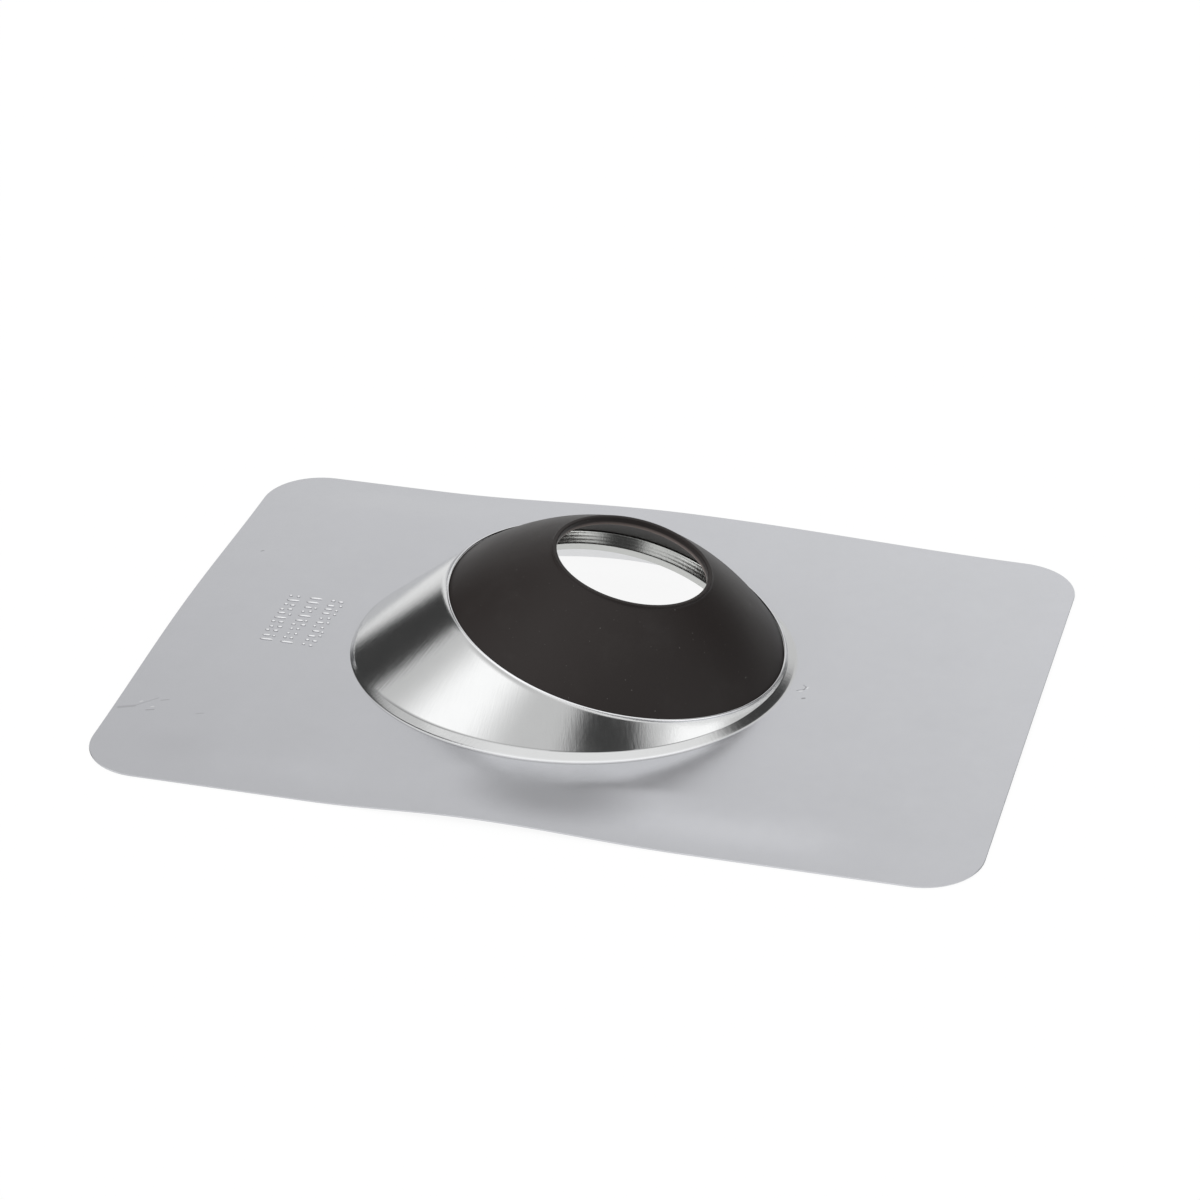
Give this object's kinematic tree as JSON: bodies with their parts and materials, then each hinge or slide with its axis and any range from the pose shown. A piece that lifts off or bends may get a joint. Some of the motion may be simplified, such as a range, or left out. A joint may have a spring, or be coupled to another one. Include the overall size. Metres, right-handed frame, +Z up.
{
  "type": "pipe flashing boot",
  "caption": "Galvanised sheet roof flashing with an oblique cone and a moulded black collar that grips and seals a vent pipe.",
  "frame": {"origin": "middle of the sheet's outline, on the flat deck that the sheet's corners touch", "axes": "+X up the roof slope along the sheet's length, +Y across the sheet, +Z up away from the deck"},
  "size_m": [0.3174, 0.2286, 0.0519],
  "materials": {
    "galvanised_sheet": "zinc-coated sheet, matt grey with a faint mottle and bright drawn cone",
    "galvanised_ring": "zinc-coated pressed ring",
    "collar_rubber": "semi-matt moulded black rubber"
  },
  "bodies": {
    "root": {"flashing_base": "galvanised_sheet", "backing_ring": "galvanised_ring", "pipe_collar": "collar_rubber"}
  },
  "joints": []
}
